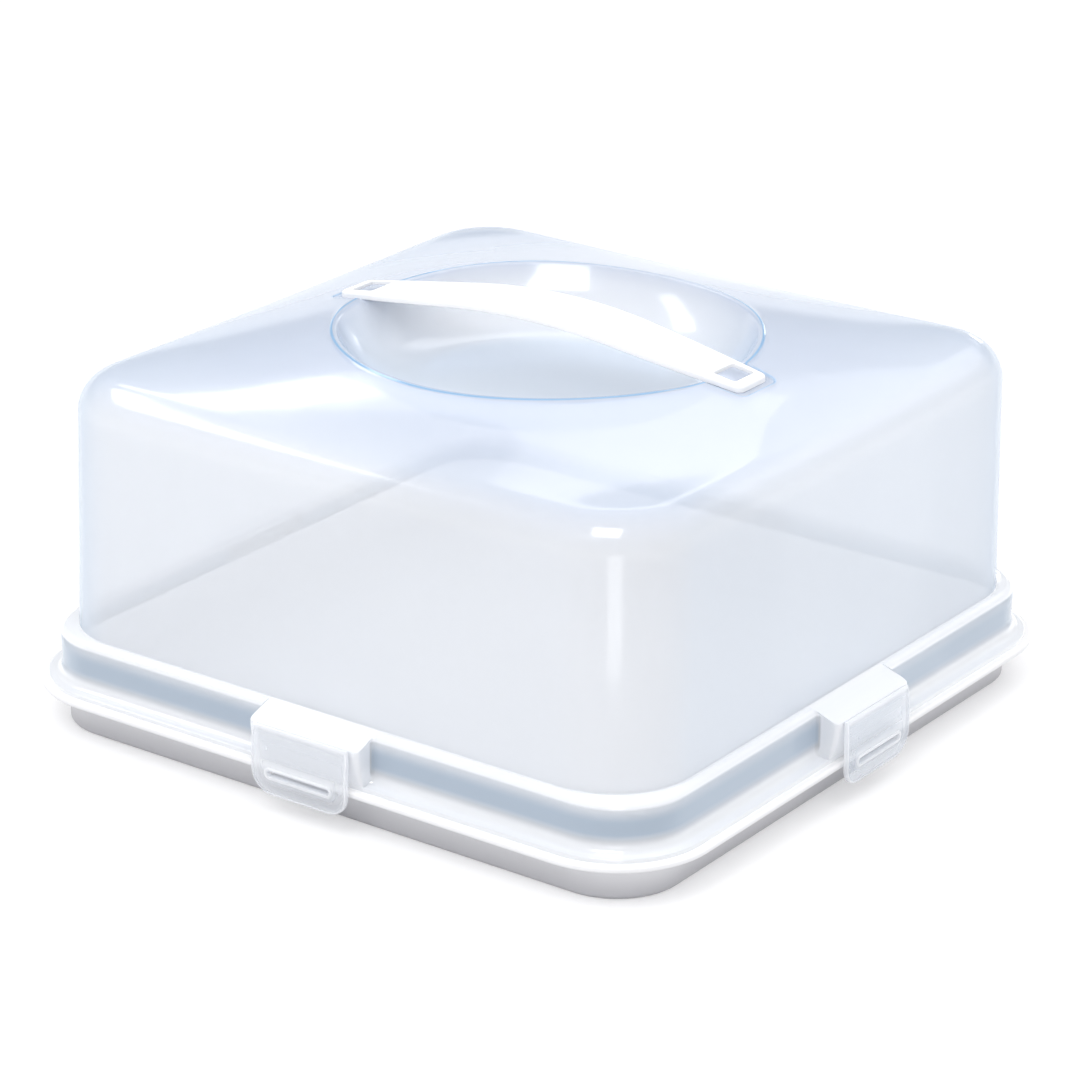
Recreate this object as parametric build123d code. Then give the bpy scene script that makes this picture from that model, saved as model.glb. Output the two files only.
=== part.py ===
from build123d import *
from math import atan, cos, degrees, hypot, radians, sin, tan
import os

# Square cake box: a white tray, a clear cover with a hand dish, a white strap handle, and a swinging
# latch on each side that hooks under the tray's rim. All sizes are in millimetres. The origin is the
# middle of the tray's underside, +Z is up, the front is -Y and the strap runs along X.

# Tray: a pan with an upright wall, and a wide rim round its outside
rim_width = 300.0
rim_corner_radius = 39.7
rim_thickness = 2.8
rim_top = 18.2
rim_edge_radius = 1.1
pan_inset = 11.5
pan_corner_radius = 26.5
pan_wall = 2.2
pan_floor = 3.0
pan_height = 29.0
pan_foot_radius = 1.5
pan_lip_radius = 0.8
pan_hollow_radius = 4.0

# Cover: flange, skirt and ledge, which go over the tray's upright wall
cover_wall = 1.6
skirt_wall = 1.8
skirt_clearance = 1.0
skirt_height = 20.4
flange_setback = 2.8
flange_thickness = 1.6
flange_corner_radius = 36.5
flange_edge_radius = 0.6
flange_root_radius = 3.0
shoulder_radius = 3.0
ledge_width = 3.8

# Cover: tall walls and crowned top
wall_foot_corner_radius = 33.5
wall_top_corner_radius = 34.6
wall_draft = 0.8
eaves_height = 139.5
crown_rise = 18.5
top_edge_radius = 15.6

# Cover: round hand dish under the strap
dish_radius = 80.0
dish_floor_radius = 46.0
dish_depth = 21.0
dish_lip_radius = 1.2

# Strap handle: arched in the middle, with straight arms that slope down to its ends
strap_length = 187.0
strap_width = 29.6
strap_end_width = 18.4
strap_thickness = 2.8
strap_above_crown = 1.7
strap_bend_length = 80.0
strap_corner_radius = 3.0
strap_top_radius = 1.2
strap_under_radius = 0.5
window_from_end = 9.1
window_length = 10.0
window_width = 13.4
window_corner_radius = 1.5

# Cover: pockets that take the strap's ends, and the studs that snap into its windows
pocket_clearance = 3.0
pocket_end_depth = 0.65
pocket_edge_radius = 0.4
stud_clearance = 0.4
stud_below_strap_top = 0.9

# Latches, which swing on a bead along their upper edge
latch_width = 44.0
latch_thickness = 1.8
latch_gap = 0.5
latch_bottom = 7.8
latch_bow = 0.9
latch_corner_radius = 9.0
latch_edge_radius = 0.45
hinge_height = 33.9
hinge_clearance = 0.3
slot_length = 29.0
slot_height = 2.4
slot_above_catch = 0.5
slot_border = 1.2
slot_border_height = 0.35
catch_length = 30.0
catch_reach = 2.0
catch_clearance = 0.3
catch_tip = 0.7
catch_height = 2.7
gate_mark_radius = 0.6
gate_mark_height = 0.25
gate_mark_across = 14.7
gate_mark_below_hinge = 7.4

# Cover: bays, one at the middle of each side, whose sloping platforms carry the latches
bay_width = 50.6
bay_corner_radius = 2.0
bay_edge_radius = 0.8
bay_lip_above_hinge = 0.5
bay_lip_below_hinge = 1.8
bay_front_lean = 3.1
bay_front_bulge = 0.5

# What follows from the sizes above
rim_half = rim_width / 2
rim_under = rim_top - rim_thickness
pan_half = rim_half - pan_inset
skirt_inner = pan_half + skirt_clearance
skirt_inner_corner = pan_corner_radius + skirt_clearance
skirt_outer = skirt_inner + skirt_wall
ledge_top = rim_top + skirt_height
flange_top = rim_top + flange_thickness
flange_half = rim_half - flange_setback
wall_foot = skirt_outer - ledge_width
crown_half = wall_foot - tan(radians(wall_draft)) * (eaves_height - ledge_top) - top_edge_radius
crown_top = eaves_height + crown_rise

hinge_bead_radius = latch_thickness / 2
hinge_out = rim_half + latch_gap + hinge_bead_radius
groove_radius = hinge_bead_radius + hinge_clearance
catch_top = rim_under - catch_clearance

# Tools that cut right through reach past the whole box
far_up = 2 * crown_top
far_out = rim_width


def crown_at(x, y):
    """Height of the crowned top's outer surface."""
    return eaves_height + crown_rise * (1 - (x / crown_half) ** 2) * (1 - (y / crown_half) ** 2)


# The strap's arms are tangent to its bend, and slope down to the floors of their pockets
strap_top = crown_top + strap_above_crown
strap_half = strap_length / 2
strap_bend_half = strap_bend_length / 2
window_centre = strap_half - window_from_end
pocket_end = strap_half + pocket_clearance
strap_fall = strap_top - strap_thickness - crown_at(pocket_end, 0) + pocket_end_depth
strap_slope = 2 * degrees(atan(strap_fall / (2 * pocket_end - strap_bend_half)))
strap_bend_radius = strap_bend_half / sin(radians(strap_slope))
strap_drop_at_bend = strap_bend_radius * (1 - cos(radians(strap_slope)))


def strap_at(x, depth):
    """Height of a straight arm of the strap, measured depth under its upper face."""
    fall = tan(radians(strap_slope)) * (abs(x) - strap_bend_half)
    return strap_top - strap_drop_at_bend - fall - depth / cos(radians(strap_slope))


def rounded_square(half, radius, low, high):
    """Upright block with a rounded square outline."""
    outline = Plane.XY.offset(low) * RectangleRounded(2 * half, 2 * half, radius)
    return extrude(outline, high - low)


def level_edges(solid, height):
    """The level edges of a solid at one height."""
    return solid.edges().filter_by_position(Axis.Z, height, height)


def side_on(profile, width):
    """A profile drawn in X and Z, made as wide as given along Y."""
    return extrude(Plane.XZ * profile, width / 2, both=True)


def on_each_side(solid):
    """Copies of a solid drawn on the right-hand side, one for each side of the box."""
    return [Rot(0, 0, 90 * turn) * solid for turn in range(4)]


def make_tray():
    """Pan with an upright wall, and the wide flat rim round its outside."""
    pan = rounded_square(pan_half, pan_corner_radius, 0, pan_height)
    pan = fillet(level_edges(pan, 0), pan_foot_radius)
    rim = rounded_square(rim_half, rim_corner_radius, rim_under, rim_top)
    rim = fillet(level_edges(rim, rim_top) + level_edges(rim, rim_under), rim_edge_radius)
    hollow = rounded_square(pan_half - pan_wall, pan_corner_radius - pan_wall, pan_floor, far_up)
    hollow = fillet(level_edges(hollow, pan_floor), pan_hollow_radius)
    tray = pan + rim - hollow
    return fillet(level_edges(tray, pan_height), pan_lip_radius)


def under_crown(inset):
    """Everything below the crowned top's surface, lowered by inset."""
    edge = 1 - (far_out / crown_half) ** 2
    poles = [(-far_out, edge), (0, 2 - edge), (far_out, edge)]
    surface = Face.make_bezier_surface(
        [[(x, y, eaves_height - inset + crown_rise * u * v) for y, v in poles] for x, u in poles]
    )
    return Part() + Solid.extrude(surface, Vector(0, 0, -far_up))


def crowned_block(inset, foot):
    """The tall walls and crowned top as one solid, brought in by inset all round, down to foot."""
    outlines = []
    for height, radius in ((foot, wall_foot_corner_radius), (crown_top, wall_top_corner_radius)):
        half = wall_foot - tan(radians(wall_draft)) * (height - ledge_top) - inset
        outlines.append(Plane.XY.offset(height) * RectangleRounded(2 * half, 2 * half, radius - inset))
    block = loft(outlines, ruled=True) & under_crown(inset)
    top_edges = block.edges().filter_by(lambda e: e.position_at(0.5).Z > eaves_height - top_edge_radius)
    return fillet(top_edges, top_edge_radius - inset)


def dish(inset):
    """The round hollow under the strap, grown by inset into the plastic round it."""
    floor = crown_at(dish_radius, 0) - dish_depth
    run = dish_radius - dish_floor_radius
    bowl_radius = (run**2 + dish_depth**2) / (2 * dish_depth)
    reach = bowl_radius + inset
    centre = floor + bowl_radius
    bottom = (dish_floor_radius, centre - reach)
    half_way = (dish_floor_radius + reach * sin(radians(45)), centre - reach * cos(radians(45)))
    side = (dish_floor_radius + reach, centre)
    profile = make_face(
        [
            Line((0, bottom[1]), bottom),
            ThreePointArc(bottom, half_way, side),
            Line(side, (side[0], far_up)),
            Line((side[0], far_up), (0, far_up)),
            Line((0, far_up), (0, bottom[1])),
        ]
    )
    return revolve(Plane.XZ * profile, Axis.Z)


def strap_outline(margin):
    """The strap seen from above: widest in the middle, with sides that curve in to its ends."""
    end = strap_half + margin
    middle = strap_width / 2 + margin
    tip = strap_end_width / 2 + margin
    quarter = middle - (middle - tip) / 4
    sketch = make_face(
        [
            Spline((-end, tip), (-end / 2, quarter), (0, middle), (end / 2, quarter), (end, tip)),
            Line((end, tip), (end, -tip)),
            Spline((end, -tip), (end / 2, -quarter), (0, -middle), (-end / 2, -quarter), (-end, -tip)),
            Line((-end, -tip), (-end, tip)),
        ]
    )
    return fillet(sketch.vertices(), strap_corner_radius + margin / 2)


def pockets(inset):
    """Shallow hollows for the strap's ends, open to the dish, grown by inset into the plastic."""
    outline = extrude(strap_outline(pocket_clearance + inset), far_up)
    start, end = strap_bend_half + dish_lip_radius, far_out
    found = Part()
    for side in (-1, 1):
        wedge = make_face(
            Polyline(
                (side * start, strap_at(start, strap_thickness + inset)),
                (side * end, strap_at(end, strap_thickness + inset)),
                (side * end, far_up),
                (side * start, far_up),
                close=True,
            )
        )
        found += side_on(wedge, rim_width) & outline
    return found


def bay(inset, foot):
    """The right-hand bay, brought in by inset all round, down to foot."""
    front = hinge_out - groove_radius
    slope = (ledge_top - hinge_height - bay_lip_above_hinge) / (front - wall_foot)
    top = ledge_top - inset * hypot(1, slope)
    front -= inset
    lip = (front, top - slope * (front - wall_foot))
    brow = (front, hinge_height - bay_lip_below_hinge - inset * slope)
    heel = (front - bay_front_lean, flange_top)
    belly = ((brow[0] + heel[0]) / 2 + bay_front_bulge, (brow[1] + heel[1]) / 2)
    back = wall_foot - 2 * cover_wall
    profile = make_face(
        [
            Line((back, foot), (back, ledge_top - inset)),
            Line((back, ledge_top - inset), (wall_foot, ledge_top - inset)),
            Line((wall_foot, ledge_top - inset), lip),
            Line(lip, brow),
            ThreePointArc(brow, belly, heel),
            Line(heel, (heel[0], foot)),
            Line((heel[0], foot), (back, foot)),
        ]
    )
    block = side_on(profile, bay_width - 2 * inset)
    corners = block.edges().filter_by(GeomType.CIRCLE)
    return fillet(corners, max(bay_corner_radius - inset, bay_edge_radius / 2))


def rounded_bay():
    """The right-hand bay's outside, with its sloping edges eased."""
    block = bay(0, rim_top)
    slants = block.edges().filter_by(GeomType.LINE).filter_by(
        lambda e: abs(e.tangent_at(0.5).X) > 0.1 and abs(e.tangent_at(0.5).Z) > 0.1
    )
    return fillet(slants, bay_edge_radius)


def flange_and_skirt():
    """The cover's foot: a flat flange, and the skirt that rises from it to the ledge."""
    flange = rounded_square(flange_half, flange_corner_radius, rim_top, flange_top)
    flange = fillet(level_edges(flange, flange_top), flange_edge_radius)
    skirt = rounded_square(skirt_outer, skirt_inner_corner + skirt_wall, rim_top, ledge_top)
    skirt = fillet(level_edges(skirt, ledge_top), shoulder_radius)
    foot = flange + skirt
    root = level_edges(foot, flange_top).filter_by(
        lambda e: max(abs(e.position_at(0.5).X), abs(e.position_at(0.5).Y)) < skirt_outer + flange_edge_radius
    )
    return fillet(root, flange_root_radius)


def crowned_top():
    """The walls and top, with the dish and the strap's pockets sunk into it."""
    top = crowned_block(0, ledge_top - shoulder_radius) - dish(0)
    lip = top.edges().filter_by(
        lambda e: abs(hypot(e.position_at(0.3).X, e.position_at(0.3).Y) - dish_radius) < dish_lip_radius
    )
    top = fillet(lip, dish_lip_radius) - pockets(0)

    def borders_pocket(edge):
        places = [edge.position_at(t) for t in (0.1, 0.5, 0.9)]
        return all(
            abs(p.Z - crown_at(p.X, p.Y)) < 0.05
            and abs(p.X) < strap_half + 2 * pocket_clearance
            and abs(p.Y) < strap_width / 2 + pocket_clearance
            for p in places
        )

    return fillet(top.edges().filter_by(borders_pocket), pocket_edge_radius)


def studs():
    """The raised blocks in the pockets that snap into the strap's windows."""
    stud = RectangleRounded(
        window_length - 2 * stud_clearance, window_width - 2 * stud_clearance, window_corner_radius - stud_clearance
    )
    column = extrude(stud, far_up)
    layer = strap_band(stud_below_strap_top, strap_thickness + cover_wall / 2)
    return [(Pos(side * window_centre, 0) * column) & layer for side in (-1, 1)]


def make_cover():
    """The clear cover: a thin shell, made as an outer solid less an inner one."""
    outer = flange_and_skirt() + crowned_top() + on_each_side(rounded_bay())
    groove = side_on(Pos(hinge_out, hinge_height) * Circle(groove_radius), rim_width / 2)
    outer -= on_each_side(groove)

    foot = rim_top - cover_wall
    inner = rounded_square(skirt_inner, skirt_inner_corner, foot, ledge_top - cover_wall)
    inner = fillet(level_edges(inner, ledge_top - cover_wall), shoulder_radius - cover_wall)
    inner += crowned_block(cover_wall, foot)
    inner += on_each_side(bay(cover_wall, foot))
    inner -= dish(cover_wall)
    inner -= pockets(cover_wall)
    return outer - inner + studs()


def strap_band(upper, lower):
    """The strap's arched band between two depths under its upper face, longer and wider than it."""
    reach = strap_half + pocket_clearance + strap_thickness
    turn = sin(radians(strap_slope))
    lines = []
    for depth in (upper, lower):
        bend = strap_bend_half - depth * turn
        lines.append([(reach, strap_at(reach, depth)), (bend, strap_at(bend, depth)), (0, strap_top - depth)])
    (top_end, top_bend, top), (low_end, low_bend, low) = lines

    def left(point):
        return (-point[0], point[1])

    band = make_face(
        [
            Line(left(top_end), left(top_bend)),
            ThreePointArc(left(top_bend), top, top_bend),
            Line(top_bend, top_end),
            Line(top_end, low_end),
            Line(low_end, low_bend),
            ThreePointArc(low_bend, low, left(low_bend)),
            Line(left(low_bend), left(low_end)),
            Line(left(low_end), left(top_end)),
        ]
    )
    return side_on(band, 2 * strap_width)


def make_handle():
    """The white strap: an arched band with a window near each end."""
    strap = strap_band(0, strap_thickness) & extrude(strap_outline(0), far_up)

    def rim_of(faces):
        """The edges round a group of faces, without the lines across the strap between them."""
        ends = strap_half - strap_corner_radius
        return faces.edges().filter_by(
            lambda e: abs(e.tangent_at(0.5).Y) < 0.99 or abs(e.position_at(0.5).X) > ends
        )

    upper = rim_of(strap.faces().filter_by(lambda f: f.normal_at().Z > 0.9))
    strap = fillet(upper, strap_top_radius)
    lower = rim_of(strap.faces().filter_by(lambda f: f.normal_at().Z < -0.9))
    strap = fillet(lower, strap_under_radius)
    window = extrude(RectangleRounded(window_length, window_width, window_corner_radius), far_up)
    return strap - [Pos(side * window_centre, 0) * window for side in (-1, 1)]


def latch_plate():
    """The right-hand latch's bowed plate, hanging from its hinge bead."""
    half = latch_thickness / 2
    middle = (hinge_height + latch_bottom) / 2
    outer, inner = hinge_out + half, hinge_out - half
    profile = make_face(
        [
            ThreePointArc((outer, hinge_height), (outer + latch_bow, middle), (outer, latch_bottom)),
            Line((outer, latch_bottom), (inner, latch_bottom)),
            ThreePointArc((inner, latch_bottom), (inner + latch_bow, middle), (inner, hinge_height)),
            Line((inner, hinge_height), (outer, hinge_height)),
        ]
    )
    plate = side_on(profile, latch_width)
    low_corners = level_edges(plate, latch_bottom).filter_by(Axis.X)
    plate = fillet(low_corners, latch_corner_radius)
    face_edges = plate.edges().filter_by(
        lambda e: e.position_at(0.5).X > outer - 0.01 and e.position_at(0.5).Z < hinge_height - 0.01
    )
    plate = fillet(face_edges, latch_edge_radius)
    return plate + side_on(Pos(hinge_out, hinge_height) * Circle(hinge_bead_radius), latch_width)


def make_latch():
    """The right-hand latch, closed, with the catch that hooks under the rim and the slot above it."""
    plate = latch_plate()
    facing_out = Plane(origin=(rim_half, 0, 0), x_dir=(0, 1, 0), z_dir=(1, 0, 0))
    through = 3 * latch_thickness

    slot_place = facing_out * Pos(0, catch_top + slot_above_catch + slot_height / 2)
    slot = extrude(slot_place * SlotOverall(slot_length, slot_height), through)
    border = SlotOverall(slot_length + 2 * slot_border, slot_height + 2 * slot_border)
    border = extrude(slot_place * border, through) & Pos(slot_border_height, 0, 0) * plate
    mark_place = facing_out * Pos(-gate_mark_across, hinge_height - gate_mark_below_hinge)
    mark = extrude(mark_place * Circle(gate_mark_radius), through) & Pos(gate_mark_height, 0, 0) * plate

    catch = make_face(
        Polyline(
            (hinge_out, catch_top),
            (rim_half - catch_reach, catch_top),
            (rim_half - catch_reach, catch_top - catch_tip),
            (hinge_out, catch_top - catch_height),
            close=True,
        )
    )
    return plate + border + mark + side_on(catch, catch_length) - slot


os.makedirs("parts", exist_ok=True)

export_step(make_tray(), "parts/tray.step")
export_step(make_cover(), "parts/cover.step")
export_step(make_handle(), "parts/handle.step")
sides = ["right", "back", "left", "front"]
for side, latch in zip(sides, on_each_side(make_latch())):
    export_step(latch, f"parts/latch_{side}.step")
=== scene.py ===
"""Square cake box: the looks of its clear cover, white tray, strap handle and four latches."""

from math import asin, atan2, cos, hypot, pi, radians, sin, sqrt, tan

import bmesh
import bpy
from mathutils import Matrix, Vector


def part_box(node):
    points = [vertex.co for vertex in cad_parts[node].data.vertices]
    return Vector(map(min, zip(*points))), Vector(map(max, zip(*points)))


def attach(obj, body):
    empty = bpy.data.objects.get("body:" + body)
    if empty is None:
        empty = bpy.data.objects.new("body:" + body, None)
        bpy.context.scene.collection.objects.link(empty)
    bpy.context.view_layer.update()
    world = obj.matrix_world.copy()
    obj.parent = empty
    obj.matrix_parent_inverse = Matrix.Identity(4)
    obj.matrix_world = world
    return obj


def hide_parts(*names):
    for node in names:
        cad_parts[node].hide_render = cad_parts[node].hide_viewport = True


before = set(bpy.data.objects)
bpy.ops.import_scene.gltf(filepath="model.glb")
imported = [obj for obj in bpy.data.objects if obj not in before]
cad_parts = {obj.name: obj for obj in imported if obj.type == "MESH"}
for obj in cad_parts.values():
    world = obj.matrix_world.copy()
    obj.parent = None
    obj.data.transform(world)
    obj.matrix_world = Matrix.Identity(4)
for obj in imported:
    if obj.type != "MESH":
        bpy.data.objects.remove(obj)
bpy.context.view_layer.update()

bl_info = {
    "name": "Square cake box",
    "version": (1, 0, 0),
    "blender": (4, 5, 0),
    "location": "View3D > Sidebar > Cake Box",
    "description": "Dresses the packed cake box: clear cover, white tray, strap handle and latches",
    "category": "Object",
}

# The CAD's box is kept before anything is added
MM = 0.001
RIM_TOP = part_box("cover")[0].z
HANDLE_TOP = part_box("handle")[1].z
HANDLE_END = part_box("handle")[1].x

# The sides in the order of their quarter turns, and which of them the strap's ends point to
SIDES = ("right", "back", "left", "front")
STRAP_SIDES = (0, 2)

# Rings from the dish's bead to the crown's edge: up to a pocket's end, over its wall, and on
STRIP_STEPS = (10, 8, 9)
SHARP_ANGLE = radians(38)

# Where the cover's painted shade and painted highlights start and end, in millimetres above the tray's rim
CROWN_HEIGHTS = (108.0, 130.0)
LEDGE_HEIGHTS = (17.4, 18.6, 20.6, 21.4)
SKIRT_HEIGHTS = (4.5, 8.5, 12.5, 19.5)
FLANGE_HEIGHTS = (6.5, 3.0)
BEAD_HEIGHTS = (126.0, 127.0)
POCKET_HEIGHTS = (118.0, 122.0)

# The same in millimetres out from the box's axis, and from its middle to a side
DISH_OUT = (76.0, 82.0)
BEAD_OUT = (81.4, 81.9, 82.4, 82.9)
BAY_SIDE = (142.2, 143.4)
SKIRT_SIDE = (142.6, 141.8)
STUD_SIDE = (11.5, 12.5)

# A pocket's painted shade line, in millimetres outside the arc of its corner
POCKET_LINE = (-1.1, -0.3, 0.1, 0.7)

# The tray's painted shade: its sides' straight half, its corners' arc, and depths below the rim, in
# millimetres
TRAY_STRAIGHT = 112.0
TRAY_ARC = (25.2, 25.6)
TRAY_EDGE_DEPTHS = (0.6, 1.2)
TRAY_FOOT_DEPTHS = (4.0, 19.0)

# Height on the box's axis that the softboxes face, in metres
LAMP_AIM = 0.08


def length(name, description, millimetres):
    """A size that the sidebar shows in the scene's unit."""
    return bpy.props.FloatProperty(
        name=name, description=description, default=millimetres * MM, unit="LENGTH", subtype="DISTANCE",
    )


def colour(name, description, red, green, blue):
    """A colour that the sidebar shows as a swatch."""
    tone = (red, green, blue)
    return bpy.props.FloatVectorProperty(
        name=name, description=description, default=tone, subtype="COLOR", size=3, min=0, max=1,
    )


def number(name, description, value, low=0.0, high=1.0):
    """A plain number between two limits."""
    return bpy.props.FloatProperty(name=name, description=description, default=value, min=low, max=high)


def angle(name, description, degrees):
    """An angle that the sidebar shows in degrees."""
    return bpy.props.FloatProperty(
        name=name, description=description, default=radians(degrees), unit="ROTATION", subtype="ANGLE",
    )


class CoverSizes(bpy.types.PropertyGroup):
    """Sizes of the clear cover, as the CAD model has them."""

    wall: length("Wall", "Thickness of the walls and top", 1.6)
    flange_half: length("Flange", "Half of the flange's width", 147.2)
    flange_corner: length("Flange corner", "Radius of the flange's corners", 36.5)
    flange_height: length("Flange height", "Thickness of the flange", 1.6)
    flange_edge: length("Flange edge", "Rounding of the flange's edge", 0.6)
    root_round: length("Root", "Rounding between flange and skirt", 3.0)
    skirt_inner: length("Skirt inside", "Half of the width inside the skirt", 139.5)
    skirt_outer: length("Skirt outside", "Half of the skirt's width", 141.3)
    skirt_corner: length("Skirt corner", "Radius of the skirt's outer corners", 29.3)
    skirt_height: length("Skirt height", "From the tray's rim to the ledge", 20.4)
    shoulder_round: length("Shoulder", "Rounding between skirt and ledge", 3.0)
    foot_half: length("Wall foot", "Half of the walls' width at the ledge", 137.5)
    foot_corner: length("Foot corner", "Radius of the walls' corners at the ledge", 33.5)
    top_corner: length("Top corner", "Radius of the walls' corners at the crown", 34.6)
    draft: angle("Draft", "Lean of the walls", 0.8)
    eaves: length("Eaves", "Height of the crown above the walls", 139.5)
    crown_half: length("Crown", "Half of the crown's width", 120.49)
    crown_rise: length("Crown rise", "Rise of the crown in its middle", 18.5)
    top_round: length("Top edge", "Rounding between walls and crown", 15.6)
    dish: length("Dish", "Radius of the hand dish", 80.0)
    dish_floor: length("Dish floor", "Radius of the dish's flat floor", 46.0)
    dish_depth: length("Dish depth", "Depth of the dish under the crown", 21.0)
    dish_lip: length("Dish lip", "Rounding of the dish's rim", 1.2)
    dish_lip_soft: length("Soft lip", "Rounding of the dish's rim beside the strap", 3.6)
    bead_width: length("Bead width", "Width of the fine bead round the dish", 1.6)
    bead_rise: length("Bead rise", "Height of the fine bead round the dish", 0.35)
    bay_half: length("Bay", "Half of a latch bay's width", 25.3)
    bay_front: length("Bay front", "How far out a latch bay reaches", 150.2)
    bay_lip: length("Bay lip", "Height of a latch bay's lip", 34.4)
    bay_brow: length("Bay brow", "Height of the edge under a latch bay's lip", 32.1)
    bay_lean: length("Bay lean", "How far a latch bay's front leans in to its foot", 3.1)
    bay_bulge: length("Bay bulge", "Bulge of a latch bay's front", 0.5)
    bay_round: length("Bay corner", "Rounding of a latch bay's corners", 2.0)
    pocket_gap: length("Pocket gap", "Clearance round the strap's ends", 3.0)
    pocket_edge: length("Pocket edge", "Width of the pockets' rounded walls", 0.9)
    pocket_corner: length("Pocket corner", "Radius of the pockets' corners", 3.6)


class StrapSizes(bpy.types.PropertyGroup):
    """Sizes of the strap handle, as the CAD model has them."""

    width: length("Width", "Width of the strap in its middle", 29.6)
    end_width: length("End width", "Width of the strap's ends", 18.4)
    thickness: length("Thickness", "Thickness of the strap", 2.8)
    bend: length("Bend", "Length of the strap's arched middle", 80.0)
    slope: angle("Slope", "Slope of the strap's arms", 8.535)
    window_from_end: length("Window place", "From the strap's end to its window's middle", 9.1)
    window_length: length("Window length", "Length of the windows along the strap", 10.0)
    window_width: length("Window width", "Width of the windows across the strap", 13.4)


class LatchSizes(bpy.types.PropertyGroup):
    """Sizes of a latch, as the CAD model has them."""

    width: length("Width", "Width of the flap", 44.0)
    thickness: length("Thickness", "Thickness of the flap", 1.8)
    hinge_out: length("Hinge place", "From the box's middle out to the hinge bead", 151.4)
    hinge_height: length("Hinge height", "Height of the hinge bead", 33.9)
    bottom: length("Bottom", "Height of the flap's lower edge", 7.8)
    bow: length("Bow", "Outward bow of the flap", 0.9)
    corner: length("Corner", "Radius of the lower corners", 9.0)
    front_edge: length("Front edge", "Rounding of the flap's front edge", 0.45)
    back_edge: length("Back edge", "Rounding of the flap's back edge", 0.15)
    slot_length: length("Slot", "Length of the slot", 29.0)
    slot_width: length("Slot width", "Width of the slot", 2.4)
    slot_height: length("Slot height", "Height of the slot's middle", 16.8)
    border: length("Border", "Width of the slot's raised border", 1.2)
    border_rise: length("Border rise", "How far the slot's border stands proud", 0.35)
    catch_length: length("Catch", "Length of the catch", 30.0)
    catch_reach: length("Catch reach", "From the box's middle out to the catch's tip", 148.0)
    catch_top: length("Catch top", "Height of the catch's top", 15.1)
    catch_tip: length("Catch tip", "Height of the catch at its tip", 0.7)
    catch_root: length("Catch root", "Height of the catch at the flap", 2.7)
    mark_radius: length("Gate mark", "Radius of the moulding's gate mark", 0.6)
    mark_rise: length("Gate mark rise", "How far the gate mark stands proud", 0.25)
    mark_across: length("Gate mark place", "From the flap's middle to the gate mark", 14.7)
    mark_drop: length("Gate mark drop", "From the hinge bead down to the gate mark", 7.4)


class StudSizes(bpy.types.PropertyGroup):
    """Sizes of the studs that snap into the strap's windows."""

    clearance: length("Clearance", "Gap between a stud and its window", 0.4)
    below_strap: length("Below strap", "From the strap's top down to the stud's top", 0.9)
    corner: length("Corner", "Radius of a stud's corners", 1.1)
    edge: length("Edge", "Rounding of a stud's top edge", 0.5)


class PlasticColours(bpy.types.PropertyGroup):
    """Colours of the plastics, and of the painted shade and highlights on them."""

    clear_face: colour("Clear, from the front", "The clear plastic facing the eye", 0.93, 0.95, 0.99)
    clear_edge: colour("Clear, from the side", "The clear plastic seen along itself", 0.50, 0.66, 0.86)
    # Painted shade: the colour that the crowned top is painted, darker and bluer than the walls
    clear_top_shade: colour("Clear, on top", "The clear plastic of the crowned top", 0.58, 0.65, 0.80)
    # Painted highlight: the pale colour painted on ledges, bays, flange and the latches' edges and borders
    highlight_pale: colour("Clear, on ledges", "The clear plastic on ledge, bays and flange", 0.94, 0.96, 1.0)
    # Painted shade: the dark blue painted along the bead round the dish and the pockets' edges
    clear_line: colour("Clear, in beads", "The clear plastic in the bead round the dish", 0.25, 0.45, 0.70)
    # Painted shade: the dark colour painted in the middle of the skirt
    skirt_shade: colour("Skirt", "The clear plastic in the thick skirt", 0.42, 0.50, 0.60)
    tray: colour("Tray", "The white tray's rim and floor", 0.92, 0.915, 0.92)
    # Painted shade: the tray painted darker on the rim's edge and close under it
    tray_edge_shade: colour("Tray edge", "The white tray on the rim's edge and close under it", 0.86, 0.86, 0.88)
    # Painted shade: the tray painted darker towards its foot
    tray_foot_shade: colour("Tray foot", "The white tray at its foot", 0.50, 0.50, 0.53)
    handle: colour("Handle", "The white strap handle", 0.92, 0.92, 0.93)
    haze: number("Haze", "How much the clear plastic hides where it faces the eye", 0.42)
    edge_haze: number("Edge haze", "How much more it hides where it is seen along itself", 0.45)


class StudioSettings(bpy.types.PropertyGroup):
    """Light and camera of the studio."""

    sky: number("Sky", "Strength of the all-round light", 0.95, 0.0, 2.0)
    key: number("Key lamp", "Power of the softbox in front in watts", 5.1, 0.0, 100.0)
    side: number("Side lamp", "Power of the softbox on the right in watts", 0.9, 0.0, 100.0)
    fill: number("Fill lamp", "Power of the softbox behind in watts", 2.0, 0.0, 100.0)
    low: number("Low lamp", "Power of the softbox low on the right in watts", 0.8, 0.0, 100.0)
    gloss: number("Gloss", "Brightness of the softboxes that only show as highlights", 14.0, 0.0, 100.0)
    azimuth: angle("Azimuth", "The camera's turn about the box, from straight in front", 35.5347)
    elevation: angle("Elevation", "The camera's height above the table, as an angle", 21.6056)
    roll: angle("Roll", "The camera's roll", 0.6245)
    distance: length("Distance", "From the camera to the box's middle", 1556.3)
    shift_right: length("Shift right", "How far the camera stands to the right of its line", -2.0)
    shift_up: length("Shift up", "How far the camera stands above its line", -5.2)
    aim: length("Aim", "Height of the point that the camera looks at", 69.0)
    lens: number("Lens", "Focal length on a 36 mm wide sensor, in millimetres", 134.033, 1.0, 500.0)


# Shader building

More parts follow.
